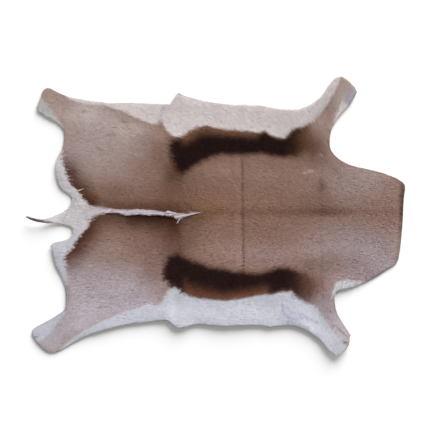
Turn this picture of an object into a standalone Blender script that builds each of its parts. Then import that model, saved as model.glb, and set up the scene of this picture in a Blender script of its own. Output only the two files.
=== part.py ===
"""A springbok hide, tanned with its hair on and laid out flat with the hair side up.

The hide is one piece of skin: saddle, neck, four legs, rump and tail all hang together, so it is
one solid. Its outline is the knife's cut. The leather lies flat under the saddle and curls up
towards its cut edges, and the coat on it is thick over the back, thin at the edge and the legs,
and stands up in a crest of long hair along the rear half of the spine.

Metres, +Z up out of the hair side, +X along the spine towards the neck. The origin is on the
floor, under the middle of the hide's box. The tables below are in millimetres.
"""

import math

import bmesh
import bpy
from mathutils import Vector
from mathutils.kdtree import KDTree

MM = 0.001

# Thickness of what the knife cut through: the leather, and the coat lying on it.
LEATHER = 1.2 * MM
COAT = 4.3 * MM
COAT_AT_THE_EDGE = 1.5 * MM
EDGE_TAPER = 22 * MM

# How the cut edge curls up from the floor.
CURL_HEIGHT = 12 * MM
CURL_REACH = 62 * MM
CURL_LEAST = 0.6
CURL_ELSEWHERE = 0.3
CURL_WAVE_X = 58 * MM
CURL_WAVE_Y = 71 * MM

# The mesh: squares of the cut face, closer scores over the crest, and steps of the curve between
# two stations of the outline.
SQUARE = 20 * MM
CREST_SCORE = 5 * MM
CREST_TIP_SCORE = 8 * MM
CURVE_STEPS = 3
SHORTEST_EDGE = 2.2 * MM

# The outline, anticlockwise from above. Each stretch runs from one corner of the cut to the next,
# and its stations are joined by a smooth curve. Columns: x, y.
OUTLINE = {
    "side of the neck": [
        (567, 78), (566, 92), (558, 102), (525, 120), (447, 142), (414, 149), (390, 158),
        (369, 171), (352, 187), (343, 203), (341, 222), (343, 246), (352, 271), (387, 318),
        (402, 335), (415, 357),
    ],
    "left foreleg and belly": [
        (422, 370), (417, 383), (402, 399), (387, 412), (370, 418), (355, 411), (330, 378),
        (315, 358), (297, 343), (276, 330), (252, 321), (225, 318), (192, 320), (162, 325),
        (132, 331), (102, 331), (84, 334), (60, 332), (27, 336), (-12, 340), (-48, 347),
        (-99, 362),
    ],
    "left flank lobe": [
        (-112, 369), (-120, 361), (-132, 341),
    ],
    "left hind leg, outside": [
        (-137, 334), (-228, 338), (-339, 341), (-372, 344), (-408, 350), (-438, 356),
        (-468, 367), (-486, 376), (-504, 383), (-519, 374), (-524, 358), (-533, 335),
        (-537, 322),
    ],
    "left hind leg, inside, and rump": [
        (-534, 316), (-513, 301), (-480, 283), (-466, 271), (-457, 258), (-455, 242),
        (-456, 222), (-460, 204), (-475, 174), (-480, 155), (-480, 138), (-472, 99),
        (-465, 84), (-451, 71), (-436, 60), (-432, 50), (-439, 29), (-447, 20), (-465, 8),
        (-500, -6), (-518, -10), (-549, -5), (-565, -1),
    ],
    "tail": [
        (-567, -4), (-546, -14), (-510, -21), (-489, -21), (-468, -23), (-450, -28),
        (-436, -34), (-430, -44), (-432, -56), (-440, -67), (-468, -77), (-488, -82),
    ],
    "right rump and hind leg": [
        (-495, -90), (-490, -108), (-480, -150), (-469, -171), (-456, -197), (-450, -222),
        (-449, -250), (-453, -279), (-477, -298), (-519, -322), (-546, -338), (-552, -349),
        (-543, -369), (-518, -397), (-507, -405), (-492, -409), (-465, -401), (-444, -389),
        (-420, -374), (-393, -360), (-363, -349), (-327, -338), (-288, -328), (-243, -321),
        (-198, -315), (-165, -312),
    ],
    "right flank lobe and belly": [
        (-146, -312), (-134, -322), (-124, -330), (-111, -335), (-96, -333), (-81, -327),
        (-60, -323), (-6, -328), (24, -330), (48, -328), (84, -327), (126, -327),
        (144, -329), (156, -333), (180, -331), (213, -328), (231, -329), (252, -335),
        (276, -346), (297, -360), (315, -374), (339, -402), (351, -411), (363, -418),
        (373, -413), (386, -402), (400, -374), (399, -364),
    ],
    "right foreleg, front": [
        (403, -358), (394, -343), (369, -303), (360, -283), (356, -261), (355, -240),
    ],
    "side and end of the neck": [
        (358, -228), (366, -223), (402, -215), (426, -206), (471, -187), (516, -159),
        (536, -146), (544, -136), (549, -118), (552, -99), (556, -60), (560, -12),
        (562, 33), (564, 60),
    ],
}

# Parts of the hide that stand off the floor more than its edge does. Columns: x, y, reach, height.
LIFTS = [
    (-520, 340, 120, 3),
    (-530, -360, 115, 2),
    (400, 395, 120, 4),
    (378, -400, 120, 8),
    (-567, -4, 130, 24),
    (-478, 130, 75, 5),
    (-492, -105, 80, 6),
    (-112, 366, 80, 4),
    (-111, -333, 75, 5),
    (50, -326, 110, 4),
    (215, 318, 110, 2),
]

# Lines along which the hide was folded for storage, as grooves in the coat.
# Columns: x at the right belly, x at the left belly, depth, half width.
HALF_SPAN = 340 * MM
FOLD_LINES = [
    (88, 78, 1.7, 12),
    (-110, -104, 1.2, 17),
    (318, 320, 0.9, 12),
]

# The crest of long white hair along the spine. Columns: x, y of its middle, half width, height
# over the coat.
CREST = [
    (-400, 6, 30, 1.0),
    (-340, 15, 13, 3.0),
    (-270, 14, 9, 4.5),
    (-205, 11, 10, 5.5),
    (-150, 7, 11, 6.0),
    (-120, 3, 13, 6.0),
    (-95, 5, 11, 4.0),
    (-62, 11, 8, 2.5),
    (-36, 12, 6, 0.0),
]

# Where the face is scored more closely for the crest: over its length, and over its last locks.
# Columns: x from, x to, y from, y to; then the axis that the scores step along, and their step.
EVERYWHERE = (-math.inf, math.inf, -math.inf, math.inf)
CREST_BOXES = [
    ((-400, -40, -24, 38), 1, CREST_SCORE),
    ((-158, -34, -24, 38), 0, CREST_TIP_SCORE),
]

# Places where the coat is shorter or longer than on the back. Columns: x, y, reach, times COAT.
COAT_LENGTHS = [
    (-515, 345, 150, 0.55),
    (-515, -365, 150, 0.55),
    (395, 390, 160, 0.55),
    (375, -390, 160, 0.55),
    (-567, -4, 120, 0.7),
    (60, -300, 130, 1.3),
    (60, 300, 130, 1.3),
    (-440, 60, 90, 1.25),
    (-440, -60, 90, 1.25),
]


def clear_scene():
    """Takes away whatever the file opened with."""
    for obj in list(bpy.data.objects):
        bpy.data.objects.remove(obj)


def collection_named(name):
    """A new collection in the scene."""
    made = bpy.data.collections.new(name)
    bpy.context.scene.collection.children.link(made)
    return made


def smoothstep(t):
    """From 0 to 1 with no kink at either end."""
    t = min(max(t, 0.0), 1.0)
    return t * t * (3 - 2 * t)


def cut_outline():
    """The knife's cut as a filled 2D curve: auto handles along each stretch, a corner between two."""
    stations = [(xy, i == 0) for run in OUTLINE.values() for i, xy in enumerate(run)]
    curve = bpy.data.curves.new("cut", "CURVE")
    curve.dimensions = "2D"
    curve.fill_mode = "BOTH"
    curve.resolution_u = CURVE_STEPS
    spline = curve.splines.new("BEZIER")
    spline.bezier_points.add(len(stations) - 1)
    spline.use_cyclic_u = True
    for point, ((x, y), corner) in zip(spline.bezier_points, stations):
        point.co = (x * MM, y * MM, 0)
        kind = "VECTOR" if corner else "AUTO"
        point.handle_left_type = kind
        point.handle_right_type = kind
    return bpy.data.objects.new("cut", curve)


def cut_face(outline):
    """A bmesh of the flat cut, scored along x and y, along the fold lines and along the crest."""
    bpy.context.scene.collection.objects.link(outline)
    graph = bpy.context.evaluated_depsgraph_get()
    flat = bpy.data.meshes.new_from_object(outline.evaluated_get(graph))
    bpy.data.objects.remove(outline)
    bm = bmesh.new()
    bm.from_mesh(flat)
    bpy.data.meshes.remove(flat)
    bmesh.ops.remove_doubles(bm, verts=bm.verts[:], dist=0.1 * MM)
    bmesh.ops.dissolve_faces(bm, faces=bm.faces[:])
    for place, normal in square_scores(bm) + fold_scores():
        score(bm, place, normal, EVERYWHERE)
    for box, axis, spacing in CREST_BOXES:
        normal = Vector((0, 0, 0))
        normal[axis] = 1
        low = box[2 * axis] * MM
        count = round((box[2 * axis + 1] * MM - low) / spacing)
        for i in range(count + 1):
            score(bm, normal * (low + i * spacing), normal, box)
    bmesh.ops.remove_doubles(bm, verts=bm.verts[:], dist=SHORTEST_EDGE)
    return bm


def score(bm, place, normal, box):
    """Scores the faces whose middles lie in a box: x from and to, y from and to."""
    faces = []
    for face in bm.faces:
        middle = face.calc_center_median() / MM
        if box[0] < middle.x < box[1] and box[2] < middle.y < box[3]:
            faces.append(face)
    edges = {e for f in faces for e in f.edges}
    verts = {v for f in faces for v in f.verts}
    geometry = [*verts, *edges, *faces]
    bmesh.ops.bisect_plane(bm, geom=geometry, dist=1e-6, plane_co=place, plane_no=normal)


def square_scores(bm):
    """The planes that cut the face into squares."""
    planes = []
    for axis in range(2):
        low = min(v.co[axis] for v in bm.verts)
        high = max(v.co[axis] for v in bm.verts)
        count = math.ceil((high - low) / SQUARE)
        for i in range(1, count):
            place = Vector((0, 0, 0))
            normal = Vector((0, 0, 0))
            place[axis] = low + (high - low) * i / count
            normal[axis] = 1
            planes.append((place, normal))
    return planes


def fold_line_x(x_right, x_left, y):
    """Where a fold line crosses a given y: it runs straight from belly to belly."""
    return ((x_right + x_left) * MM + (x_left - x_right) * MM * y / HALF_SPAN) / 2


def fold_scores():
    """The planes of each fold line's bottom and of the middles and tops of its two sides."""
    planes = []
    for x_right, x_left, depth, half_width in FOLD_LINES:
        normal = Vector((2 * HALF_SPAN, (x_right - x_left) * MM, 0)).normalized()
        for side in (-1, -0.5, 0, 0.5, 1):
            place = Vector((fold_line_x(x_right, x_left, 0) + side * half_width * MM, 0, 0))
            planes.append((place, normal))
    return planes


def edge_distances(bm):
    """How far each vertex lies from the cut edge."""
    rim = [e for e in bm.edges if e.is_boundary]
    points = [e.verts[0].co.lerp(e.verts[1].co, t) for e in rim for t in (0, 0.5)]
    tree = KDTree(len(points))
    for i, p in enumerate(points):
        tree.insert(p, i)
    tree.balance()
    return {v: 0.0 if v.is_boundary else tree.find(v.co)[2] for v in bm.verts}


def bump(p, x, y, reach):
    """1 at a place of a table, falling smoothly to 0 at its reach."""
    away = math.hypot(p.x - x * MM, p.y - y * MM)
    return smoothstep(1 - away / (reach * MM))


def underside(p, to_edge):
    """How far the leather stands off the floor."""
    rise = smoothstep(1 - to_edge / CURL_REACH)
    belly = (smoothstep((-p.y / MM - 70) / 130) * smoothstep((p.x / MM + 480) / 160)
             * smoothstep((500 - p.x / MM) / 120))
    wave = 0.5 + 0.5 * math.sin(p.x / CURL_WAVE_X) * math.cos(p.y / CURL_WAVE_Y)
    curl = CURL_HEIGHT * rise * (CURL_LEAST + (1 - CURL_LEAST) * wave)
    curl *= CURL_ELSEWHERE + (1 - CURL_ELSEWHERE) * belly
    return curl + sum(h * MM * bump(p, x, y, reach) for x, y, reach, h in LIFTS)


def crest_height(p):
    """How far the crest stands over the coat at a place."""
    for (x0, y0, w0, h0), (x1, y1, w1, h1) in zip(CREST, CREST[1:]):
        if x0 * MM <= p.x <= x1 * MM:
            t = (p.x / MM - x0) / (x1 - x0)
            middle = (y0 + (y1 - y0) * t) * MM
            half_width = (w0 + (w1 - w0) * t) * MM
            height = (h0 + (h1 - h0) * t) * MM
            return height * smoothstep(1.5 - abs(p.y - middle) / half_width)
    return 0.0


def fold_depth(p):
    """How deep the fold lines press into the coat at a place."""
    depth = 0.0
    for x_right, x_left, deep, half_width in FOLD_LINES:
        away = abs(p.x - fold_line_x(x_right, x_left, p.y))
        depth += deep * MM * smoothstep(1 - away / (half_width * MM))
    return depth


def coat_thickness(p, to_edge):
    """The coat's thickness: the back's, changed by the places of the table and thin at the cut."""
    times = 1.0
    for x, y, reach, there in COAT_LENGTHS:
        times += (there - 1) * bump(p, x, y, reach)
    full = COAT * times - fold_depth(p)
    lying = COAT_AT_THE_EDGE + (full - COAT_AT_THE_EDGE) * smoothstep(to_edge / EDGE_TAPER)
    return lying + crest_height(p)


def hide_mesh():
    """The hide as one closed mesh: the cut face as its leather side, and the coat grown up from it."""
    bm = cut_face(cut_outline())
    to_edge = edge_distances(bm)
    below = {v: underside(v.co, d) for v, d in to_edge.items()}
    above = {v: below[v] + LEATHER + coat_thickness(v.co, d) for v, d in to_edge.items()}
    top_of = {v.co.to_2d().freeze(): z for v, z in above.items()}
    grown = bmesh.ops.extrude_face_region(bm, geom=bm.faces[:], use_keep_orig=True)
    top = {v for v in grown["geom"] if isinstance(v, bmesh.types.BMVert)}
    for v in bm.verts:
        v.co.z = top_of[v.co.to_2d().freeze()] if v in top else below[v]
    bmesh.ops.recalc_face_normals(bm, faces=bm.faces[:])
    mesh = bpy.data.meshes.new("hide")
    bm.to_mesh(mesh)
    bm.free()
    return mesh


def coat_material():
    """The taupe of a springbok's back."""
    material = bpy.data.materials.new("coat")
    material.use_nodes = True
    shader = material.node_tree.nodes["Principled BSDF"]
    shader.inputs["Base Color"].default_value = (0.25, 0.14, 0.11, 1)
    shader.inputs["Roughness"].default_value = 0.85
    shader.inputs["Metallic"].default_value = 0.0
    return material


def main():
    clear_scene()
    parts = collection_named("springbok_hide")
    hide = bpy.data.objects.new("hide", hide_mesh())
    hide.data.materials.append(coat_material())
    hide.data.shade_smooth()
    hide.data.set_sharp_from_angle(angle=math.radians(50))
    parts.objects.link(hide)


main()
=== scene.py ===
import math

import bmesh
import bpy
import numpy as np
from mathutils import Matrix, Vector
from mathutils.bvhtree import BVHTree
from mathutils.kdtree import KDTree


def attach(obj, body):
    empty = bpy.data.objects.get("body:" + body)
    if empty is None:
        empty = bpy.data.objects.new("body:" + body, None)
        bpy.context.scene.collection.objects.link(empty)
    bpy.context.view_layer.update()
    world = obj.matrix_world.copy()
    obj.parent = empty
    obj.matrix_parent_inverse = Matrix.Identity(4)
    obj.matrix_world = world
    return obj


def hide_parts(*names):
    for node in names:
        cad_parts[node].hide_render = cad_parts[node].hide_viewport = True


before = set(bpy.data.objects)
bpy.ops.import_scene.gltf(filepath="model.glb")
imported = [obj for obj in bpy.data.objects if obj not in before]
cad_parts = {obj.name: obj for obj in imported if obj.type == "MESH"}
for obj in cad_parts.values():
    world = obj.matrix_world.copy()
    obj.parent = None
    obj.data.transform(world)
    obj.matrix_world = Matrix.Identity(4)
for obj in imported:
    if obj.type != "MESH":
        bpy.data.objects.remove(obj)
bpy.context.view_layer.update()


# The skin. One springbok skin, tanned soft and about a millimetre and a half thick, and cut flat
# with a knife. The flesh side is buffed to a nap, and the hair side shows only between the hairs.
MM = 0.001
SKIN_THICKNESS = 1.5 * MM
SKIN_SQUARE = 7 * MM  # the stretches in which the sheet is cut, so that it can bend
SAME_POINT = 0.02 * MM
LEAST_EDGE = 0.2 * MM
ON_THE_CUT = 1e-6
LEVEL = 0.5  # the least upright share of the normal of a face on the hair side or the flesh side
RIM_REACH = 0.6 * MM  # how far inside the rim its height is read
CLEAR = 0.05  # a start for rays, above or below all of the solid
# How many times heights above the floor, coat heights and slopes are averaged with those beside them.
EVEN_SHEET = 12
EVEN_COAT = 1
EVEN_SLOPES = 2
DOWN = Vector((0, 0, -1))
UP = Vector((0, 0, 1))

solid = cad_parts["hide"]
bm = bmesh.new()
bm.from_mesh(solid.data)
bmesh.ops.remove_doubles(bm, verts=bm.verts[:], dist=SAME_POINT)
solid_sides = BVHTree.FromBMesh(bm)
bmesh.ops.delete(bm, geom=[f for f in bm.faces if f.normal.z > -LEVEL], context="FACES")


def open_loops(edges):
    """The points of each loop of edges that have a face on one side only."""
    left = dict.fromkeys(e for e in edges if e.is_boundary)
    loops = []
    while left:
        at = next(iter(left)).verts[0]
        loops.append([])
        onward = [e for e in at.link_edges if e in left]
        while onward:
            loops[-1].append(at.co.copy())
            left.pop(onward[0])
            at = onward[0].other_vert(at)
            onward = [e for e in at.link_edges if e in left]
    return loops


rim = max(open_loops(bm.edges[:]), key=len)
bm.free()

# The solid's rim as one flat face, cut both ways into squares.
bm = bmesh.new()
bm.faces.new([bm.verts.new((point.x, point.y, 0)) for point in rim])
bmesh.ops.remove_doubles(bm, verts=bm.verts[:], dist=LEAST_EDGE)
bmesh.ops.delete(bm, geom=[f for f in bm.faces if f.calc_area() < SKIN_SQUARE ** 2], context="FACES")
bmesh.ops.reverse_faces(bm, faces=[f for f in bm.faces if f.normal.z < 0])
for axis in range(2):
    low = min(v.co[axis] for v in bm.verts)
    high = max(v.co[axis] for v in bm.verts)
    count = math.ceil((high - low) / SKIN_SQUARE)
    normal = Vector((0, 0, 0))
    normal[axis] = 1
    for i in range(1, count):
        geometry = bm.verts[:] + bm.edges[:] + bm.faces[:]
        bmesh.ops.bisect_plane(bm, geom=geometry, dist=ON_THE_CUT, plane_no=normal,
                               plane_co=normal * (low + (high - low) * i / count))
bmesh.ops.dissolve_degenerate(bm, edges=bm.edges[:], dist=LEAST_EDGE)
bmesh.ops.triangulate(bm, faces=[f for f in bm.faces if len(f.verts) > 4])
bm.verts.index_update()

rim_points = [e.verts[0].co.lerp(e.verts[1].co, t) for e in bm.edges if e.is_boundary
              for t in (0, 0.5)]
rim_tree = KDTree(len(rim_points))
for i, point in enumerate(rim_points):
    rim_tree.insert(point, i)
rim_tree.balance()


def solid_height(x, y, way):
    """The height of the solid's upper or under side at a place, or of the nearest point of it."""
    start = Vector((x, y, -CLEAR * way.z))
    hit = solid_sides.ray_cast(start, way)[0]
    if hit is None:
        hit = solid_sides.find_nearest(start)[0]
    return hit.z


def evened(values, links, held, rounds):
    """Rows of values at points, averaged some times with those of the points they are linked to."""
    for _ in range(rounds):
        total = values.copy()
        count = np.ones((len(values), 1))
        for here, there in (links.T, links.T[::-1]):
            np.add.at(total, here, values[there])
            np.add.at(count, here, 1)
        values = np.where(held[:, None], values, total / count)
    return values


# The height of the flesh side above the floor and of the coat above the skin, at each point.
heights = np.zeros((len(bm.verts), 2))
to_rim = np.zeros(len(bm.verts))
for v in bm.verts:
    place = v.co.copy()
    if v.is_boundary:
        inwards = sum((f.calc_center_median() for f in v.link_faces), Vector()) / len(v.link_faces)
        place += (inwards - place).normalized() * RIM_REACH
    else:
        to_rim[v.index] = rim_tree.find(v.co)[2]
    below = solid_height(place.x, place.y, UP)
    above = solid_height(place.x, place.y, DOWN)
    heights[v.index] = (below, above - below - SKIN_THICKNESS)
links = np.array([[end.index for end in e.verts] for e in bm.edges])
sheet_height = evened(heights[:, :1], links, to_rim == 0, EVEN_SHEET)[:, 0]
coat_height = evened(heights[:, 1:], links, to_rim == 0, EVEN_COAT)[:, 0]
for v, z in zip(bm.verts, sheet_height):
    v.co.z = z
skin_top = np.array([v.co[:] for v in bm.verts]) + (0, 0, SKIN_THICKNESS)
skin_triangles = np.array([[corner.vert.index for corner in t] for t in bm.calc_loop_triangles()])
skin_sheet = BVHTree.FromPolygons([Vector(p) for p in skin_top], skin_triangles.tolist())

corners = skin_top[skin_triangles]
facing = np.cross(corners[:, 1] - corners[:, 0], corners[:, 2] - corners[:, 0])
skin_up = np.zeros(skin_top.shape)
for corner in range(3):
    np.add.at(skin_up, skin_triangles[:, corner], facing)
skin_up = evened(skin_up, links, np.zeros(len(skin_up), bool), EVEN_SLOPES)

# The sheet's second side.
grown = bmesh.ops.extrude_face_region(bm, geom=bm.faces[:], use_keep_orig=True)
for v in grown["geom"]:
    if isinstance(v, bmesh.types.BMVert):
        v.co.z += SKIN_THICKNESS
bmesh.ops.recalc_face_normals(bm, faces=bm.faces[:])
# The faces of the rim come in another order on each run, so all faces are put in that of their places.
middles = {face: face.calc_center_median()[:] for face in bm.faces}
order = {face: i for i, face in enumerate(sorted(middles, key=middles.get))}
bm.faces.sort(key=order.get)
for face in bm.faces:
    face.material_index = 1 if face.normal.z > LEVEL else 0
    face.smooth = abs(face.normal.z) > LEVEL
skin_mesh = bpy.data.meshes.new("skin")
bm.to_mesh(skin_mesh)
bm.free()

# The coat's colouring, which the skin between the hairs has too. A springbok is taupe over the back,
# with a near-black band along each flank, a white belly, and a white rump that is edged with
# chestnut and runs on as a crest up the spine. Places are in millimetres from the hide's middle,
# x towards the neck and y to its left side.


def paint(code):
    """An sRGB hex colour as linear red, green and blue."""
    parts = [int(code[i:i + 2], 16) / 255 for i in (1, 3, 5)]
    return np.array([c / 12.92 if c <= 0.04045 else ((c + 0.055) / 1.055) ** 2.4 for c in parts])


def smoothstep(t):
    """From 0 to 1 with no kink at either end."""
    t = np.clip(t, 0.0, 1.0)
    return t * t * (3 - 2 * t)


def depth_inside(x, y, outline):
    """How far places lie inside a closed outline, and less than 0 outside it."""
    nearest = np.full(x.shape, 1e12)
    inside = np.zeros(x.shape, bool)
    for (x0, y0), (x1, y1) in zip(outline, outline[1:] + outline[:1]):
        ex, ey = x1 - x0, y1 - y0
        t = np.clip(((x - x0) * ex + (y - y0) * ey) / (ex * ex + ey * ey), 0, 1)
        nearest = np.minimum(nearest, (x - x0 - t * ex) ** 2 + (y - y0 - t * ey) ** 2)
        if ey:
            crosses = (y0 > y) != (y1 > y)
            inside ^= crosses & (x < x0 + (y - y0) / ey * ex)
    return np.sqrt(nearest) * np.where(inside, 1, -1)


def along(x, y, line):
    """How far places lie from an open line."""
    nearest = np.full(x.shape, 1e12)
    for (x0, y0), (x1, y1) in zip(line, line[1:]):
        ex, ey = x1 - x0, y1 - y0
        t = np.clip(((x - x0) * ex + (y - y0) * ey) / (ex * ex + ey * ey), 0, 1)
        nearest = np.minimum(nearest, (x - x0 - t * ex) ** 2 + (y - y0 - t * ey) ** 2)
    return np.sqrt(nearest)


SADDLE = "#856759"

# Soft patches of another shade on the taupe. Columns: x, y, reach in x, reach in y, colour, how
# much of it.
SHADES = [
    (-330, 220, 150, 110, "#a69693", 0.95),
    (-440, 160, 70, 90, "#a59593", 0.7),
    (-290, 130, 110, 70, "#9a857e", 0.5),
    (-300, -235, 165, 110, "#a49a9f", 1.0),
    (-420, -240, 80, 110, "#a0979c", 0.8),
    (-240, -90, 110, 55, "#7f6358", 0.8),
    (-150, 60, 110, 50, "#6e4f3d", 0.65),
    (-128, 120, 36, 90, "#705143", 0.7),
    (-118, 135, 34, 42, "#5c4134", 0.8),
    (-120, -62, 58, 66, "#593c2f", 0.92),
    (-72, 2, 46, 28, "#543b2b", 0.9),
    (-24, 0, 30, 14, "#6c4e3e", 0.6),
    (-215, 140, 45, 40, "#7e6254", 0.5),
    (-312, 70, 66, 36, "#684938", 0.6),
    (-170, 184, 30, 42, "#7d6152", 0.8),
    (-188, -160, 36, 40, "#7b6159", 0.75),
    (-52, -98, 34, 24, "#7c5c4b", 0.5),
    (-72, -48, 28, 24, "#5c4031", 0.75),
    (-168, -48, 26, 24, "#62443a", 0.7),
    (-122, -104, 30, 34, "#523a30", 0.5),
    (-126, 122, 26, 30, "#4c352a", 0.5),
    (25, -88, 60, 30, "#977c70", 0.6),
    (150, -115, 150, 42, "#947e7c", 0.65),
    (60, -55, 260, 35, "#7c6156", 0.5),
    (150, 125, 130, 45, "#967a70", 0.6),
    (-15, 26, 55, 26, "#876243", 0.6),
    (330, 100, 90, 90, "#90776e", 0.75),
    (440, 108, 110, 74, "#9d8b88", 0.9),
    (340, -110, 100, 70, "#968381", 0.9),
    (460, -100, 110, 90, "#998c8f", 0.9),
    (430, -178, 90, 40, "#8b7b7f", 0.85),
    (480, 0, 80, 60, "#85695f", 0.6),
    (330, 230, 60, 60, "#9d857b", 0.8),
    (385, 350, 60, 90, "#ad9e98", 1.0),
    (370, -350, 60, 90, "#a79fa6", 1.0),
    (-500, 330, 80, 70, "#a08e86", 0.9),
    (-505, -360, 110, 85, "#989197", 1.0),
    (285, 206, 48, 40, "#614330", 0.85),
    (288, -212, 40, 48, "#51362c", 0.85),
    (332, -262, 34, 44, "#8e8083", 0.8),
    (305, -148, 78, 26, "#775f57", 0.8),
    (350, -146, 46, 34, "#826d67", 0.6),
    (304, 50, 74, 22, "#765a4d", 0.65),
    (60, 12, 620, 12, "#664536", 0.5),
    (320, 14, 75, 18, "#5a3d2e", 0.7),
    (317, 87, 18, 22, "#5e483c", 0.7),
    (24, 138, 40, 18, "#9c7e70", 0.6),
    (306, 286, 32, 26, "#b7a196", 0.65),
    (-310, -100, 50, 36, "#958079", 0.5),
    (-312, 290, 40, 24, "#b8a9a5", 0.4),
    (504, -144, 40, 30, "#a1979c", 0.5),
    (-150, 34, 80, 14, "#5b3827", 0.25),
    (-385, 308, 66, 42, "#bdb1ae", 0.95),
    (-260, 262, 60, 25, "#b8a9a2", 0.75),
    (-385, -285, 60, 40, "#a9a1a8", 0.8),
    (-235, -270, 72, 26, "#a199a3", 0.8),
    (-172, 242, 22, 18, "#a1877b", 0.6),
    (-408, -328, 34, 24, "#b0a9b2", 0.6),
    # Painted shade along the cut at the neck's end.
    (558, 22, 9, 84, "#35271f", 0.9),
]

LEFT_BAND = [
    (-134, 228), (-108, 234), (-84, 246), (-75, 255), (-48, 267), (-24, 271), (-3, 264),
    (27, 258), (72, 255), (117, 252), (138, 248), (147, 255), (156, 252), (168, 242),
    (186, 234), (207, 233), (216, 239), (225, 249), (231, 258), (243, 263), (282, 272),
    (290, 240), (285, 200), (254, 182), (237, 177), (198, 174), (168, 179), (138, 186),
    (102, 183), (57, 181), (18, 184), (-18, 173), (-39, 162), (-57, 152), (-78, 137),
    (-99, 124), (-117, 134), (-132, 168), (-140, 205),
]
RIGHT_BAND = [
    (-151, -136), (-138, -118), (-114, -111), (-90, -121), (-63, -134), (-33, -144),
    (-12, -153), (18, -156), (57, -165), (87, -165), (123, -171), (156, -165),
    (177, -156), (201, -152), (228, -156), (252, -165), (280, -175), (292, -205),
    (290, -250), (279, -262), (261, -252), (252, -246), (237, -238), (225, -223),
    (213, -226), (201, -225), (183, -231), (165, -237), (147, -234), (102, -242),
    (72, -246), (27, -254), (-3, -254), (-48, -251), (-78, -243), (-99, -233),
    (-117, -219), (-138, -204), (-153, -192), (-158, -165),
]
LEFT_BELLY = [
    (-444, 354), (-423, 344), (-393, 335), (-348, 332), (-324, 329), (-303, 321),
    (-273, 312), (-243, 297), (-213, 284), (-189, 275), (-170, 274), (-165, 286),
    (-156, 282), (-150, 261), (-138, 249), (-123, 237), (-108, 236), (-84, 246),
    (-75, 255), (-48, 267), (-24, 271), (-3, 264), (27, 258), (72, 255), (117, 252),
    (138, 248), (147, 255), (156, 252), (168, 242), (186, 234), (207, 233), (216, 239),
    (225, 249), (231, 258), (243, 263), (261, 266), (282, 276), (300, 291), (317, 309),
    (334, 333), (347, 357), (359, 378), (368, 399), (377, 440), (-444, 440),
]
RIGHT_BELLY = [
    (-468, -402), (-450, -384), (-423, -363), (-393, -342), (-363, -327), (-333, -312),
    (-303, -300), (-273, -288), (-243, -279), (-213, -267), (-192, -260), (-177, -267),
    (-162, -264), (-150, -243), (-141, -225), (-132, -213), (-117, -215), (-99, -229),
    (-78, -239), (-48, -247), (-3, -251), (27, -254), (72, -249), (102, -243),
    (147, -234), (165, -237), (183, -231), (201, -225), (213, -226), (225, -223),
    (237, -238), (252, -246), (261, -252), (282, -261), (300, -273), (312, -288),
    (330, -312), (345, -336), (360, -357), (375, -375), (387, -384), (392, -440),
    (-468, -440),
]
RUMP = [
    (-459, 198), (-456, 168), (-450, 144), (-444, 123), (-435, 102), (-422, 85),
    (-408, 70), (-396, 51), (-376, 36), (-361, 27),
    (-312, 23), (-285, 20), (-258, 20), (-213, 20), (-174, 17), (-150, 12), (-141, 15), (-123, 12),
    (-108, 9), (-99, 6), (-92, 8), (-78, 11), (-63, 14), (-42, 13), (-63, 9), (-78, 6),
    (-90, -1), (-102, -9), (-108, -11), (-117, -22), (-114, -10), (-118, -4), (-129, 2),
    (-137, 5), (-144, 3), (-147, 0), (-156, 2), (-168, 2), (-183, 2), (-195, 0),
    (-213, 4), (-243, 2), (-258, 3), (-273, 6), (-288, 9), (-303, 10), (-318, 10), (-337, 4),
    (-354, -3), (-366, -7), (-375, -19), (-381, -36), (-394, -48), (-405, -60),
    (-416, -75), (-425, -93), (-437, -108), (-450, -122), (-450, -138), (-443, -162),
    (-442, -186), (-446, -215), (-520, -230), (-620, 0), (-520, 215),
]

# Pale strips down the edges of the legs, and the pale side of the throat.
STRIPS = {
    "left foreleg, tip": ("#a198a7", [
        (403, 380), (388, 352), (383, 330), (400, 318), (425, 330), (445, 372), (425, 400),
    ]),
    "left foreleg": ("#c9c1be", [
        (380, 345), (370, 326), (360, 304), (352, 280), (346, 255), (341, 228),
        (360, 222), (385, 280), (408, 318),
    ]),
    "left hind leg": ("#a8a7a6", [
        (-525, 357), (-510, 339), (-492, 318), (-477, 297), (-462, 276), (-456, 264),
        (-475, 250), (-520, 285), (-555, 315), (-545, 350),
    ]),
    "right hind leg": ("#a4a6af", [
        (-453, -294), (-468, -315), (-483, -333), (-498, -351), (-510, -363), (-528, -377),
        (-565, -375), (-570, -340), (-520, -298), (-458, -270),
    ]),
    "throat": ("#abadb1", [
        (351, -222), (357, -204), (372, -195), (393, -191), (423, -194), (441, -197),
        (441, -240), (345, -245),
    ]),
}

# Small marks: darker patches, pale scratches and painted shade in one armpit. Columns: x, y, reach,
# colour.
MARKS = [
    (-352, 21, 18, "#a89a98"),
    (-315, 243, 12, "#7a6253"),
    (-351, 201, 9, "#877165"),
    (-330, 186, 7, "#8a7468"),
    (-396, 312, 9, "#857060"),
    (-270, 280, 8, "#8c766a"),
    (-342, -273, 9, "#85767c"),
    (-309, -243, 8, "#8a7e83"),
    # Painted shade over the white of the right armpit.
    (240, -300, 75, "#989aa4"),
    (-536, -361, 6, "#4a4544"),
    (284, 134, 9, "#bba79f"),
    (268, 129, 5, "#b9a59d"),
    (315, 182, 5, "#bdaaa2"),
    (352, -328, 7, "#8f746c"),
    (386, -378, 7, "#352c2c"),
]
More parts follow.
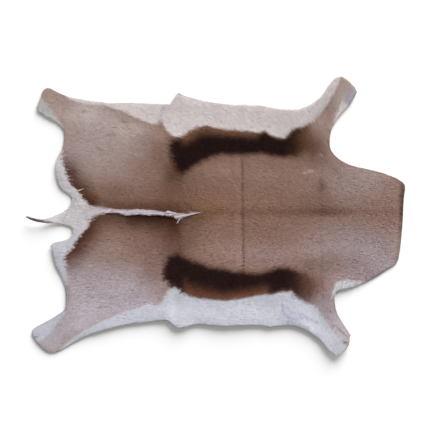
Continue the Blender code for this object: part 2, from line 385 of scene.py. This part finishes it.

# Painted shade in the creases, the leg's own dark edge, and painted shade beside the fold, where
# the parted hair's darker roots show too. Columns: reach, colour, how much of it, then the line.
CREASE_SHADE_AND_LINES = [
    # Painted shade in the creases at the groins.
    (8, "#8d8784", 0.3, [(-153, 327), (-163, 300), (-160, 282)]),
    (8, "#8f8c96", 0.3, [(-153, -318), (-165, -290), (-172, -266)]),
    # Painted shade in the wrinkles of the right armpit.
    (5, "#7d7a90", 0.75, [(200, -264), (203, -284), (214, -302), (236, -308), (268, -302), (304, -320)]),
    (4, "#7d7a90", 0.6, [(214, -270), (224, -286), (244, -292), (270, -296)]),
    (5, "#7d7a90", 0.65, [(216, -314), (240, -320), (280, -334)]),
    (7, "#80645b", 0.55, [(364, -334), (378, -347), (394, -364)]),
    # Painted shade beside the middle fold, over the parted hair's darker roots.
    (7, "#563c30", 0.38, [(81, 168), (83, 0), (85, -150)]),
]

# Where the coat parts over a fold. Columns: x at the right belly, x at the left belly, the share
# of the hairs that stop short of it.
PARTINGS = [
    (88, 78, 0.7),
    (318, 320, 0.3),
    (200, 194, 0.2),
    (-106, -104, 0.25),
]
FOLD_END = 340  # how far the folds' ends on the bellies are from the spine
PARTED_AS_FAR_AS = 195  # from the spine: beyond it, on the bands and the bellies, few hairs part
FOLD_REACH = 6  # how far the brown of the roots shows beside a fold
NOT_WHITE = 0.62  # red and blue together, over which hair is white and shows no brown at a fold

# The flank bands. Columns: outline, where the brown rim starts and ends, how far it reaches from
# the belly, its colour, and the band's colour at the end towards the leg.
BANDS = [
    (LEFT_BAND, -112, 138, 38, "#74513e", "#654631"),
    (RIGHT_BAND, -108, 175, 52, "#63402f", "#4a2d22"),
]

BAND_CORE = paint("#1e0d0c")
BAND_EDGE = paint("#3a2117")
CHESTNUT = paint("#482717")
# Darker chestnut with painted shadow of the crest in it, for the border below the crest.
CHESTNUT_IN_CREST_SHADOW = paint("#33190e")
LEFT_WHITE = paint("#c2bab9")
RIGHT_WHITE = paint("#a6a6ae")
RUMP_WHITE = paint("#b7b3b5")
RUMP_SHADE = paint("#aeadb4")
CREST_WHITE = paint("#b6adb3")
ROOT_BROWN = paint("#553c2f")
TAIL_DARK = paint("#3d302b")
TAIL_LINE = [(-570, -3), (-547, -11), (-520, -18), (-488, -21), (-460, -25), (-436, -34)]


def blended(colour, other, amount):
    """Some of one colour in another."""
    return colour + (other - colour) * amount[:, None]


def past_the_parting(x, y, x_right, x_left):
    """How far places lie beyond a fold, towards the neck."""
    return x - (x_right + x_left) / 2 - (x_left - x_right) / 2 * y / FOLD_END


def parted(y, share):
    """The share of the hairs that stop at a fold, which is less on the bands and the belly."""
    return share * (0.12 + 0.88 * smoothstep((PARTED_AS_FAR_AS - np.abs(y)) / 45))


# The uneven edges of the colours. Columns: how far they wander, over what length in x and in y.
RAGGED_EDGE = [(0.9, 6.1, 9.7), (0.6, 3.7, -4.9)]
BORDER_REACH = 76
BORDER_REACH_ABOVE = 42
BORDER_STRENGTH = 0.95
BAND_FADE = 25  # the length over which a flank band passes into the saddle
STRIP_STRENGTH = 0.9
MARK_STRENGTH = 0.8
TAIL_STRENGTH = 0.9


def with_the_border(colour, x, y, rump):
    """The chestnut border of the white rump and crest. It is narrower and paler above the crest,
    darker below the crest's middle, partly darker chestnut and partly painted shadow of the crest,
    and paler where the crest leaves the rump."""
    above_crest = smoothstep((x + 370) / 40) * smoothstep((y - 8) / 6)
    # Below the crest's middle the border carries painted shadow of the crest.
    shadowed_below_crest = np.exp(-((x + 195) / 105) ** 4 - ((y + 10) / 34) ** 2)
    beside_crest = np.exp(-((x + 310) / 50) ** 4) * smoothstep((14 - y) / 6)
    reach = BORDER_REACH - (BORDER_REACH - BORDER_REACH_ABOVE) * above_crest
    border = smoothstep((reach + rump) / (reach - 4)) * (1 - 0.36 * above_crest - 0.26 * beside_crest)
    towards_the_leg = smoothstep((190 + 25 * smoothstep(y / 60) - np.abs(y)) / 88)
    border *= towards_the_leg * smoothstep((-78 - x) / 50)
    dark = blended(np.tile(CHESTNUT, (len(x), 1)), CHESTNUT_IN_CREST_SHADOW, shadowed_below_crest)
    return blended(colour, dark, BORDER_STRENGTH * border)


def with_a_band(colour, x, depth, belly, low, high, rim_reach, rim, end):
    """A flank band: near-black, with a brown rim on the belly's side, and brown towards the leg."""
    middle = smoothstep((x - low) / 25) * smoothstep((high - x) / 25)
    core = blended(np.tile(BAND_EDGE, (len(x), 1)), BAND_CORE, smoothstep((depth + 2) / 18))
    wider = rim_reach + 14 * smoothstep((30 - x) / 70)
    near_belly = smoothstep((wider + belly) / (wider - 2)) ** 2
    core = blended(core, paint(rim), middle * near_belly)
    core = blended(core, paint(end), smoothstep((x - 190) / 95) ** 2)
    there = smoothstep((depth + 14) / BAND_FADE) * smoothstep((330 - x) / 90)
    return blended(colour, core, there)


def with_the_rump(colour, x, y, rump):
    """The white of the rump and of the crest, which is a little narrower and pinker."""
    crest = smoothstep((x + 400) / 60)
    white = blended(np.tile(RUMP_WHITE, (len(x), 1)), RUMP_SHADE, smoothstep((-20 - y) / 60))
    white = blended(white, CREST_WHITE, smoothstep((x + 400) / 90))
    return blended(colour, white, smoothstep((rump + 1.5 - 0.9 * crest) / 5))


def coat_colours(x, y):
    """The colour of the hair at each place, with painted shade in the creases, in one armpit, beside
    the fold, below the crest and at the neck's cut end.
    """
    ragged = sum(high * np.sin(x / long_x + y / long_y) for high, long_x, long_y in RAGGED_EDGE)
    colour = np.tile(paint(SADDLE), (len(x), 1))
    for px, py, reach_x, reach_y, shade, share in SHADES:
        near = np.exp(-((x - px) / reach_x) ** 2 - ((y - py) / reach_y) ** 2)
        colour = blended(colour, paint(shade), share * near)
    rump = depth_inside(x, y, RUMP) + ragged
    colour = with_the_border(colour, x, y, rump)
    left_belly = depth_inside(x, y, LEFT_BELLY) + ragged
    right_belly = depth_inside(x, y, RIGHT_BELLY) + ragged
    belly = np.maximum(left_belly, right_belly)
    for band, low, high, rim_reach, rim, end in BANDS:
        depth = depth_inside(x, y, band) + ragged
        colour = with_a_band(colour, x, depth, belly, low, high, rim_reach, rim, end)
    colour = blended(colour, LEFT_WHITE, smoothstep((left_belly + 4) / 8))
    colour = blended(colour, RIGHT_WHITE, smoothstep((right_belly + 4) / 8))
    for shade, strip in STRIPS.values():
        depth = depth_inside(x, y, strip) + ragged
        colour = blended(colour, paint(shade), STRIP_STRENGTH * smoothstep((depth + 5) / 10))
    colour = with_the_rump(colour, x, y, rump)
    for px, py, reach, shade in MARKS:
        near = np.exp(-((x - px) / reach) ** 2 - ((y - py) / (0.5 * reach)) ** 2)
        colour = blended(colour, paint(shade), MARK_STRENGTH * near)
    # Painted shade in the creases and beside the fold, and the leg's dark edge.
    for reach, shade, share, line in CREASE_SHADE_AND_LINES:
        colour = blended(colour, paint(shade), share * smoothstep(1 - along(x, y, line) / reach))
    tail = smoothstep((7 - along(x, y, TAIL_LINE)) / 5) * smoothstep((-462 - x) / 60)
    return blended(colour, TAIL_DARK, TAIL_STRENGTH * tail)


skin_places = np.zeros(len(skin_mesh.vertices) * 3)
skin_mesh.vertices.foreach_get("co", skin_places)
skin_places = skin_places.reshape(-1, 3) / MM
dye = np.ones((len(skin_places), 4))
dye[:, :3] = coat_colours(skin_places[:, 0], skin_places[:, 1])
for x_right, x_left, share in PARTINGS:
    beyond = past_the_parting(skin_places[:, 0], skin_places[:, 1], x_right, x_left)
    brown = smoothstep((NOT_WHITE - dye[:, 0] - dye[:, 2]) / 0.2)
    brown *= parted(skin_places[:, 1], share) * np.exp(-(beyond / FOLD_REACH) ** 2)
    dye[:, :3] = blended(dye[:, :3], ROOT_BROWN, brown)
skin_mesh.attributes.new("coat_colour", "FLOAT_COLOR", "POINT").data.foreach_set("color", dye.ravel())


def add_node(tree, kind, settings, links):
    """Adds a node. Settings go to its own properties or to its sockets, and links to its sockets."""
    node = tree.nodes.new("ShaderNode" + kind)
    for name, value in settings.items():
        if isinstance(name, str) and hasattr(node, name):
            setattr(node, name, value)
        else:
            node.inputs[name].default_value = value
    for name, socket in links.items():
        tree.links.new(socket, node.inputs[name])
    return node


def new_material(name, roughness, sheen):
    """A material with its shader's own values set, and its node tree and shader."""
    material = bpy.data.materials.new(name)
    material.use_nodes = True
    tree = material.node_tree
    shader = tree.nodes["Principled BSDF"]
    shader.inputs["Roughness"].default_value = roughness
    shader.inputs["IOR"].default_value = 1.45
    shader.inputs["Specular IOR Level"].default_value = 0.1
    shader.inputs["Sheen Weight"].default_value = sheen
    shader.inputs["Sheen Roughness"].default_value = 0.5
    return material, tree, shader


# Buffed flesh side: pale cream with a soft nap, cloudy where it was staked, and no shine. The nap is
# drawn a few times as coarse as the real one, which is too fine to show.
CLOUD = 71.4 * MM
NAP = 1.43 * MM
flesh, tree, shader = new_material("suede_flesh_side", 0.92, 0.25)
coordinates = add_node(tree, "TexCoord", {}, {})
clouds = add_node(tree, "TexNoise", {"Scale": 1 / CLOUD, "Detail": 4, "Roughness": 0.6},
                  {"Vector": coordinates.outputs["Object"]})
nap = add_node(tree, "TexNoise", {"Scale": 1 / NAP, "Detail": 3, "Roughness": 0.7},
               {"Vector": coordinates.outputs["Object"]})
tone = add_node(tree, "ValToRGB", {}, {"Fac": clouds.outputs["Fac"]})
tone.color_ramp.elements[0].position = 0.3
tone.color_ramp.elements[0].color = (*paint("#b8a791"), 1)
tone.color_ramp.elements[1].position = 0.7
tone.color_ramp.elements[1].color = (*paint("#d8cbb6"), 1)
fibres = add_node(tree, "MapRange", {"From Min": 0.3, "From Max": 0.7, "To Min": 0.88, "To Max": 1.05},
                  {"Value": nap.outputs["Fac"]})
napped = add_node(tree, "Mix", {"data_type": "RGBA", "blend_type": "MULTIPLY", 0: 1.0},
                  {6: tone.outputs["Color"], 7: fibres.outputs["Result"]})
raised = add_node(tree, "Bump", {"Strength": 0.35, "Distance": 0.4 * MM},
                  {"Height": nap.outputs["Fac"]})
tree.links.new(napped.outputs[2], shader.inputs["Base Color"])
tree.links.new(raised.outputs["Normal"], shader.inputs["Normal"])

# Hair side between the hairs: the coat's own colour in its shadow, with the grain of the roots,
# which is drawn coarser than the real pores, so that it shows.
PORE = 2 * MM
roots, tree, shader = new_material("underfur_at_the_roots", 0.9, 0.0)
coordinates = add_node(tree, "TexCoord", {}, {})
fur_colour = add_node(tree, "Attribute", {"attribute_name": "coat_colour"}, {})
pores = add_node(tree, "TexNoise", {"Scale": 1 / PORE, "Detail": 3, "Roughness": 0.6},
                 {"Vector": coordinates.outputs["Object"]})
depth = add_node(tree, "MapRange", {"From Min": 0.3, "From Max": 0.7, "To Min": 0.8, "To Max": 1.05},
                 {"Value": pores.outputs["Fac"]})
shaded = add_node(tree, "Mix", {"data_type": "RGBA", "blend_type": "MULTIPLY", 0: 1.0},
                  {6: fur_colour.outputs["Color"], 7: depth.outputs["Result"]})
raised = add_node(tree, "Bump", {"Strength": 0.5, "Distance": 0.5 * MM},
                  {"Height": pores.outputs["Fac"]})
tree.links.new(shaded.outputs[2], shader.inputs["Base Color"])
tree.links.new(raised.outputs["Normal"], shader.inputs["Normal"])

skin = bpy.data.objects.new("skin", skin_mesh)
skin_mesh.materials.append(flesh)
skin_mesh.materials.append(roots)
bpy.context.scene.collection.objects.link(skin)
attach(skin, "root")
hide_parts("hide")


# The short coat. Guard hairs a centimetre or two long lie back and outwards over one another,
# each group of them drawn here as one tapered lock that follows the way the hair grows.
ROOM_FOR_A_LOCK = 2.7 * MM * MM
OVERHANG = 1.5 * MM  # how far a lock hangs past the cut, and how much its tip droops there
DROOP = 2.5 * MM
SHORTER_AT_THE_CUT = 0.62  # of its length, tried up to so many times on a lock that hangs too far
TRIES = 4
STRAY = 0.8 * MM  # how far a hair's colour is from its place's, across the way it lies
STRAY_AHEAD = 1.3 * MM  # and along it, at the neck and at the rump
STRAY_BEHIND = 3.4 * MM
CLUMP = 4.5 * MM
COAT_GAIN = 1.38  # the locks shade one another, so each is paler than the coat that it is in
CUT_PAINTED_SHADE = 0.24  # painted shade: how much darker the hair at the cut is drawn, for the shade along the rim
EDGE_REACH = 4.5 * MM
LENGTHS = (0.75, 1.25)  # the range of a lock's length, width and height, as shares of the usual
WIDTHS = (0.7, 1.3)
HEIGHTS = (0.8, 1.04)
SWAY = 0.06  # how far a lock bends to one side, as a share of its length
BEND = 2.2  # how much of a lock's rise is near its root
TOE = 0.42  # half a lock's width at its root, and further on, where it tapers, as shares of the whole
BODY = 0.5
TAPER = 0.3
COLOUR_AT = 0.55  # the point along a lock where its colour is that of its place
LEAST_LENGTH = 2.5 * MM
FRAYED = 1.6 * MM  # how unevenly the hairs stop at a fold
CORNER = 0.6  # the clumps are counted from this far off the hide's middle, both ways
hair = np.random.default_rng(5)
clump_tones, clump_strays = hair.normal(0, 1, (2, 300, 300))

# Which way the hair lies. Columns: x, y, then the way it points along x and along y.
LIE = [
    (540, 0, -1.0, 0.0), (400, 10, -1.0, 0.0), (250, 10, -1.0, 0.0), (80, 10, -1.0, 0.0),
    (-60, 10, -1.0, 0.0), (-200, 10, -1.0, 0.0), (-350, 10, -1.0, 0.0),
    (480, 110, -1.0, 0.06), (480, -110, -1.0, -0.06),
    (350, 120, -1.0, 0.3), (350, -110, -1.0, -0.3),
    (325, 220, -0.55, 0.9), (325, -225, -0.55, -0.9),
    (370, 310, 0.15, 1.0), (350, -310, 0.15, -1.0),
    (398, 390, 0.35, 1.0), (378, -390, 0.3, -1.0),
    (220, 110, -1.0, 0.42), (220, -100, -1.0, -0.42),
    (80, 100, -1.0, 0.45), (80, -90, -1.0, -0.45),
    (-60, 80, -1.0, 0.42), (-60, -70, -1.0, -0.42),
    (160, 215, -1.0, 0.26), (160, -200, -1.0, -0.26),
    (0, 220, -1.0, 0.28), (0, -205, -1.0, -0.28),
    (-115, 180, -1.0, 0.3), (-120, -170, -1.0, -0.3),
    (240, 300, -0.7, 0.7), (240, -290, -0.7, -0.7),
    (80, 300, -0.9, 0.5), (80, -290, -0.9, -0.5),
    (-100, 300, -0.95, 0.4), (-100, -280, -0.95, -0.4),
    (-240, 90, -1.0, 0.2), (-240, -80, -1.0, -0.2),
    (-260, 220, -1.0, 0.3), (-260, -220, -1.0, -0.25),
    (-380, 130, -1.0, 0.12), (-380, -140, -1.0, -0.1),
    (-400, 290, -0.95, 0.4), (-400, -300, -0.9, -0.4),
    (-490, 335, -0.8, 0.62), (-490, -350, -0.8, -0.65),
    (-440, 50, -1.0, 0.25), (-440, -60, -1.0, -0.25),
    (-460, 150, -1.0, 0.1), (-460, -150, -1.0, -0.1),
    (-520, -12, -1.0, 0.05),
]
LIE_REACH = 45


def way_of_the_hair(x, y):
    """The direction in which the hair lies, as an angle about +Z."""
    total_x = np.zeros(len(x))
    total_y = np.zeros(len(x))
    for px, py, way_x, way_y in LIE:
        size = math.hypot(way_x, way_y)
        pull = 1 / ((x - px) ** 2 + (y - py) ** 2 + LIE_REACH ** 2) ** 2
        total_x += pull * way_x / size
        total_y += pull * way_y / size
    swirl = 0.07 * np.sin(x / 23 + y / 17) + 0.06 * np.sin(x / 11 - y / 31) + 0.05 * np.sin(y / 9)
    return np.arctan2(total_y, total_x) + swirl


def scatter(area_per_root, triangles):
    """Places on the skin, as evenly likely everywhere, with the coat's height and the way to the rim."""
    corners = skin_top[triangles]
    crossed = np.cross(corners[:, 1] - corners[:, 0], corners[:, 2] - corners[:, 0])
    double = np.linalg.norm(crossed, axis=1)
    count = int(double.sum() / 2 / area_per_root)
    chosen = hair.choice(len(triangles), count, p=double / double.sum())
    u, v = hair.random((2, count))
    outside = u + v > 1
    u[outside], v[outside] = 1 - u[outside], 1 - v[outside]
    shares = np.stack([1 - u - v, u, v], axis=1)
    up = np.einsum("ij,ijk->ik", shares, skin_up[triangles][chosen])
    return {
        "at": np.einsum("ij,ijk->ik", shares, corners[chosen]),
        "up": up / np.linalg.norm(up, axis=1)[:, None],
        "height": np.einsum("ij,ij->i", shares, coat_height[triangles][chosen]),
        "rim": np.einsum("ij,ij->i", shares, to_rim[triangles][chosen]),
    }


def picked(places, mask):
    """Some of the places."""
    return {name: values[mask] for name, values in places.items()}


def within_the_rim(places, way, length):
    """Cuts lengths so that a lock's tip hangs only a little over the rim. Returns them, and which
    of the locks do hang over it."""
    hangs = np.zeros(len(way))
    near = np.flatnonzero(places["rim"] < length)
    for _ in range(TRIES):
        reach = np.maximum(length[near] - OVERHANG, 0)
        tips_x = places["at"][near, 0] + np.cos(way[near]) * reach
        tips_y = places["at"][near, 1] + np.sin(way[near]) * reach
        over = [skin_sheet.ray_cast(Vector((tx, ty, 1)), DOWN)[0] is None
                for tx, ty in zip(tips_x, tips_y)]
        near = near[np.array(over, bool)]
        length[near] *= SHORTER_AT_THE_CUT
        hangs[near] = 1
    return length, hangs


def short_of_the_partings(places, way, length):
    """Cuts the lengths of a share of the locks that would lie across a fold."""
    x, y = (places["at"][:, :2] / MM).T
    for x_right, x_left, share in PARTINGS:
        beyond = past_the_parting(x, y, x_right, x_left) * MM / np.maximum(-np.cos(way), 0.3)
        across = (beyond > 0) & (beyond < length) & (hair.random(len(x)) < parted(y, share))
        stop = beyond + hair.uniform(-FRAYED, FRAYED, len(x))
        length = np.where(across, np.clip(stop, LEAST_LENGTH, length), length)
    return length


def lock_mesh(name, lines, sides, halves, shades, material):
    """One object of tapered locks. Each lock has its line of points, the way its width lies, half
    its width at each point but the last, which is its tip, and its colour at each point."""
    count, points = lines.shape[:2]
    ring = 2 * points - 1
    places = np.empty((count, ring, 3), np.float32)
    dye = np.ones((count, ring, 4), np.float32)
    across = sides[:, None, :] * halves[:, :, None]
    places[:, 0:-1:2] = lines[:, :-1] - across
    places[:, 1:-1:2] = lines[:, :-1] + across
    places[:, -1] = lines[:, -1]
    dye[:, 0:-1:2, :3] = shades[:, :-1]
    dye[:, 1:-1:2, :3] = shades[:, :-1]
    dye[:, -1, :3] = shades[:, -1]
    pattern = []
    for i in range(points - 2):
        pattern += [2 * i, 2 * i + 1, 2 * i + 3, 2 * i + 2]
    pattern += [ring - 3, ring - 2, ring - 1]
    corners = (np.array(pattern) + ring * np.arange(count)[:, None]).ravel()
    starts = (4 * np.arange(points - 1) + len(pattern) * np.arange(count)[:, None]).ravel()
    mesh = bpy.data.meshes.new(name)
    mesh.vertices.add(count * ring)
    mesh.vertices.foreach_set("co", places.ravel())
    mesh.loops.add(len(corners))
    mesh.loops.foreach_set("vertex_index", corners.astype(np.int32))
    mesh.polygons.add(len(starts))
    mesh.polygons.foreach_set("loop_start", starts.astype(np.int32))
    mesh.update(calc_edges=True)
    mesh.shade_smooth()
    dyed = mesh.attributes.new("coat_colour", "FLOAT_COLOR", "POINT")
    dyed.data.foreach_set("color", np.clip(dye, 0.001, 1).ravel())
    mesh.materials.append(material)
    piece = bpy.data.objects.new(name, mesh)
    bpy.context.scene.collection.objects.link(piece)
    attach(piece, "root")
    return piece


def grow_locks(name, places, length, width, spread, uneven, material, stand=1.0, steps=2,
               colour_at=COLOUR_AT):
    """Grows one tapered lock at each place, and returns them as one object.

    Length and width are in metres. Spread is how far apart neighbours point, uneven how much their
    shades differ, stand a lock's height as a share of the coat's, steps the stretches that it bends
    along, and colour_at the point along a lock where the hide's colour is its own."""
    count = len(places["at"])
    way = way_of_the_hair(*(places["at"][:, :2] / MM).T) + hair.normal(0, spread, count)
    longs, hangs = within_the_rim(places, way, length * hair.uniform(*LENGTHS, count))
    longs = short_of_the_partings(places, way, longs)
    wide = width * hair.uniform(*WIDTHS, count)
    up = places["up"]
    toward = np.stack([np.cos(way), np.sin(way), np.zeros(count)], axis=1)
    toward -= up * np.einsum("ij,ij->i", toward, up)[:, None]
    toward /= np.linalg.norm(toward, axis=1)[:, None]
    side = np.cross(up, toward)
    roll = hair.normal(0, 0.03 + 1.5 * uneven, count)[:, None]
    rolled = side * np.cos(roll) + up * np.sin(roll)
    high = places["height"] * stand * hair.uniform(*HEIGHTS, count)
    sway = hair.normal(0, SWAY, count)
    column, row = ((places["at"][:, :2] + CORNER) / CLUMP).astype(int).T
    stray = STRAY_AHEAD + (STRAY_BEHIND - STRAY_AHEAD) * smoothstep((20 - places["at"][:, 0] / MM) / 160)
    stray *= clump_strays[column, row] + hair.normal(0, 0.6, count)
    seen = (places["at"] + toward * (longs * colour_at + stray)[:, None]
            + side * hair.normal(0, STRAY, count)[:, None])
    seen_x, seen_y = (seen[:, :2] / MM).T
    tone = 0.75 * clump_tones[column, row] + 0.8 * hair.normal(0, 1, count)
    colour = coat_colours(seen_x, seen_y) * COAT_GAIN * (1 + uneven * tone)[:, None]
    # Painted shade along the cut.
    colour *= 1 - CUT_PAINTED_SHADE * smoothstep(1 - places["rim"] / EDGE_REACH)[:, None]
    t = np.linspace(0, 1, steps + 1)
    rise = high[:, None] * (1 - (1 - t) ** BEND) - DROOP * hangs[:, None] * t ** 2
    lines = (places["at"][:, None] + toward[:, None] * (longs[:, None] * t)[:, :, None]
             + side[:, None] * ((longs * sway)[:, None] * t ** 2)[:, :, None]
             + up[:, None] * rise[:, :, None])
    taper = np.where(t > 0, BODY * (1 - TAPER * t), TOE)[:-1]
    shades = colour[:, None] * (1 - 2.2 * uneven * (1 - t) + 0.03 * t)[:, None]
    return lock_mesh(name, lines, rolled, wide[:, None] * taper, shades, material)


def hair_material(name, roughness, fleck, least):
    """Hair in the colour that grew there, with flecks of a size along it, the darkest of them down
    to a share of that colour."""
    material, tree, shader = new_material(name, roughness, 0.0)
    coordinates = add_node(tree, "TexCoord", {}, {})
    grown_colour = add_node(tree, "Attribute", {"attribute_name": "coat_colour"}, {})
    flecks = add_node(tree, "TexNoise", {"Scale": 1 / fleck, "Detail": 2, "Roughness": 0.6},
                      {"Vector": coordinates.outputs["Object"]})
    share = add_node(tree, "MapRange",
                     {"From Min": 0.35, "From Max": 0.65, "To Min": least, "To Max": 1.04},
                     {"Value": flecks.outputs["Fac"]})
    flecked = add_node(tree, "Mix", {"data_type": "RGBA", "blend_type": "MULTIPLY", 0: 1.0},
                       {6: grown_colour.outputs["Color"], 7: share.outputs["Result"]})
    tree.links.new(flecked.outputs[2], shader.inputs["Base Color"])
    return material


# Guard hair of the back: dry and matt, with paler and darker bars some 3 mm long.
guard_hair = hair_material("guard_hair", 0.75, 3.03 * MM, 0.92)
# Hair of the flank bands: near-black, with a faint gloss.
band_hair = hair_material("flank_band_hair", 0.6, 3.33 * MM, 0.85)
# White hair of the belly and rump: soft, unbarred, almost clean.
white_hair = hair_material("white_hair", 0.8, 6.67 * MM, 0.96)

LOW_COAT = 4.2 * MM  # beside the crest, whose own hair stands higher
LEG_BLEND = 9  # how far the legs' short coat and the long one mingle

places = scatter(ROOM_FOR_A_LOCK, skin_triangles)
place_x, place_y = (places["at"][:, :2] / MM).T
in_rump = depth_inside(place_x, place_y, RUMP) > 0
in_belly = np.maximum(depth_inside(place_x, place_y, LEFT_BELLY),
                      depth_inside(place_x, place_y, RIGHT_BELLY)) > 0
in_band = np.maximum(depth_inside(place_x, place_y, LEFT_BAND),
                     depth_inside(place_x, place_y, RIGHT_BAND)) > 0
off_x, off_y = hair.normal(0, LEG_BLEND, (2, len(place_x)))
on_leg = (np.abs(place_y) + off_y > 250) & ((place_x + off_x > 304) | (place_x + off_x < -430))
free = ~(in_rump | in_belly | in_band | on_leg)
places["height"] = np.where(in_rump, places["height"], np.minimum(places["height"], LOW_COAT))

# Columns: name, where, length, width, spread, uneven, material.
COATS = [
    ("coat_of_the_neck", free & (place_x > 250), 14, 1.25, 0.09, 0.056, guard_hair),
    ("coat_of_the_saddle", free & (place_x <= 250) & (place_x > -110), 15, 1.25, 0.1, 0.07, guard_hair),
    ("coat_of_the_left_hip", free & (place_x <= -110) & (place_y > 0), 15, 1.25, 0.1, 0.05, guard_hair),
    ("coat_of_the_right_hip", free & (place_x <= -110) & (place_y <= 0), 15, 1.25, 0.1, 0.05, guard_hair),
    ("coat_of_the_flank_bands", in_band & ~in_belly, 14, 1.3, 0.1, 0.09, band_hair),
    ("coat_of_the_left_belly", in_belly & ~on_leg & (place_y > 0), 18, 1.7, 0.1, 0.022, white_hair),
    ("coat_of_the_right_belly", in_belly & ~on_leg & (place_y <= 0), 18, 1.7, 0.1, 0.022, white_hair),
    ("coat_of_the_legs", on_leg & ~in_rump, 10, 1.6, 0.08, 0.03, guard_hair),
    ("coat_of_the_rump", in_rump, 18, 1.4, 0.12, 0.03, white_hair),
]
coats = [
    grow_locks(name, picked(places, where), length * MM, width * MM, spread, uneven, made_of)
    for name, where, length, width, spread, uneven, made_of in COATS
]


# The crest. Long white hair grows along the rear half of the spine, in a fold of the skin that
# opens when the animal is excited; on the hide it lies back in a soft ridge with a few stray tips.
ROOM_IN_THE_CREST = 1.3 * MM * MM
CREST_LENGTH = 20 * MM
CREST_WIDTH = 1.3 * MM
CREST_INSET = 1.4  # the rows of the crest's roots keep this far inside the white, in millimetres
CREST_ADVANCE = 20  # and their hair, which lies back, starts this far from the front end
CREST_REAR = -372
CREST_HALF = 40

crest_places = scatter(ROOM_IN_THE_CREST, skin_triangles)
crest_x, crest_y = (crest_places["at"][:, :2] / MM).T
in_crest = (crest_x > CREST_REAR) & (np.abs(crest_y) < CREST_HALF)
in_crest &= depth_inside(crest_x, crest_y, RUMP) > CREST_INSET
in_crest &= depth_inside(crest_x - CREST_ADVANCE, crest_y, RUMP) > 0
coats.append(grow_locks("crest", picked(crest_places, in_crest), CREST_LENGTH, CREST_WIDTH, 0.05, 0.035,
                        white_hair, stand=1.05, steps=3, colour_at=0.0))

# The stray locks. Longer hairs leave the coat where the crest ends, in one wisp at the rump's
# border, and along the tail. Each of them is drawn alone, and lies on the hair under it.
# Columns: x and y of a lock's root, of its bend and of its tip, half its spread at the root, how
# many hairs it has, and its colour.
STRAYS = [
    (-122, -4, -92, 1, -37, 13, 3.4, 90, "#bdb2b6"),
    (-106, -3, -110, -11, -118, -24, 4.0, 60, "#bdb4ba"),
    (-146, 13, -128, 10, -106, 1, 3.0, 40, "#bdb4ba"),
    (-418, 74, -406, 76, -394, 84, 2.6, 24, "#b5a199"),
    (-470, -20, -520, -17, -564, -4, 2.5, 30, "#3f322d"),
    (-500, -20, -530, -18, -560, -9, 2.0, 20, "#3f322d"),
]
STRAY_GAIN = 1.12
STRAY_POINTS = 6
STRAY_HALF_WIDTH = 0.5 * MM
SUNK = 1.2 * MM  # how deep a stray hair's root is in the coat
stray_lines = []
stray_shades = []
for x0, y0, x1, y1, x2, y2, spread, count, shade in STRAYS:
    t = np.linspace(0, 1, STRAY_POINTS)[None, :]
    off = hair.normal(0, 0.5, (2, count, 1)) * spread * (1 - 0.85 * t)
    reach = hair.uniform(0.75, 1.0, (count, 1)) * t
    line_x = ((1 - reach) ** 2 * x0 + 2 * reach * (1 - reach) * x1 + reach ** 2 * x2 + off[0]) * MM
    line_y = ((1 - reach) ** 2 * y0 + 2 * reach * (1 - reach) * y1 + reach ** 2 * y2 + off[1]) * MM
    line_z = np.array([solid_height(x, y, DOWN) for x, y in zip(line_x.flat, line_y.flat)])
    line_z = line_z.reshape(line_x.shape)
    line_z += hair.uniform(-0.4, 0.5, (count, 1)) * MM - SUNK * (1 - t)
    stray_lines.append(np.stack([line_x, line_y, line_z], axis=2))
    tone = paint(shade) * STRAY_GAIN * hair.normal(1, 0.05, (count, 1))
    stray_shades.append(np.repeat(tone[:, None], STRAY_POINTS, axis=1))
stray_lines = np.concatenate(stray_lines)
run = stray_lines[:, -1] - stray_lines[:, 0]
stray_sides = np.cross(np.array([0, 0, 1]), run)
stray_sides /= np.linalg.norm(stray_sides, axis=1)[:, None]
stray_taper = np.linspace(1, 0.5, STRAY_POINTS - 1)[None]
stray_halves = STRAY_HALF_WIDTH * np.repeat(stray_taper, len(stray_lines), axis=0)
coats.append(lock_mesh("stray_locks", stray_lines, stray_sides, stray_halves,
                       np.concatenate(stray_shades), white_hair))


# The floor and the light. A plain pale studio floor, painted matt, lies under one big soft light
# from the hide's left side, with pale light from all round. The light stands low, so that the
# shadows beside the hide's edges are as wide as the real ones.
FLOOR_HALF = 4.0
FLOOR_GAP = 0.4 * MM  # the hide isn't pressed quite flat
SKY_STRENGTH = 0.4
KEY_STRENGTH = 5.5
KEY_SPREAD = math.radians(48)
KEY_FROM = Vector((0.4, 1.0, 0.49))
bm = bmesh.new()
bmesh.ops.create_grid(bm, x_segments=1, y_segments=1, size=FLOOR_HALF)
bmesh.ops.translate(bm, verts=bm.verts[:], vec=(0, 0, -FLOOR_GAP))
floor_mesh = bpy.data.meshes.new("floor")
bm.to_mesh(floor_mesh)
bm.free()
floor_paint, tree, shader = new_material("matt_white_floor", 0.9, 0.0)
shader.inputs["Base Color"].default_value = (*paint("#f6f6f6"), 1)
floor_mesh.materials.append(floor_paint)
floor = bpy.data.objects.new("floor", floor_mesh)
bpy.context.scene.collection.objects.link(floor)

world = bpy.data.worlds.new("studio")
bpy.context.scene.world = world
world.use_nodes = True
background = world.node_tree.nodes["Background"]
background.inputs["Color"].default_value = (1, 1, 1, 1)
background.inputs["Strength"].default_value = SKY_STRENGTH

key = bpy.data.objects.new("key", bpy.data.lights.new("key", "SUN"))
key.data.energy = KEY_STRENGTH
key.data.angle = KEY_SPREAD
key.rotation_euler = KEY_FROM.to_track_quat("Z", "Y").to_euler()
bpy.context.scene.collection.objects.link(key)
bpy.context.scene.view_settings.view_transform = "Standard"

# The camera looks straight down from above the hide's middle, with the neck to the right.
CAMERA_HEIGHT = 6.4
VIEW_WIDTH = 1.296
SENSOR_WIDTH = 36
camera = bpy.data.objects.new("camera", bpy.data.cameras.new("camera"))
camera.data.sensor_width = SENSOR_WIDTH
camera.data.lens = SENSOR_WIDTH * CAMERA_HEIGHT / VIEW_WIDTH
camera.location = (0, 0, CAMERA_HEIGHT)
bpy.context.scene.collection.objects.link(camera)
bpy.context.scene.camera = camera
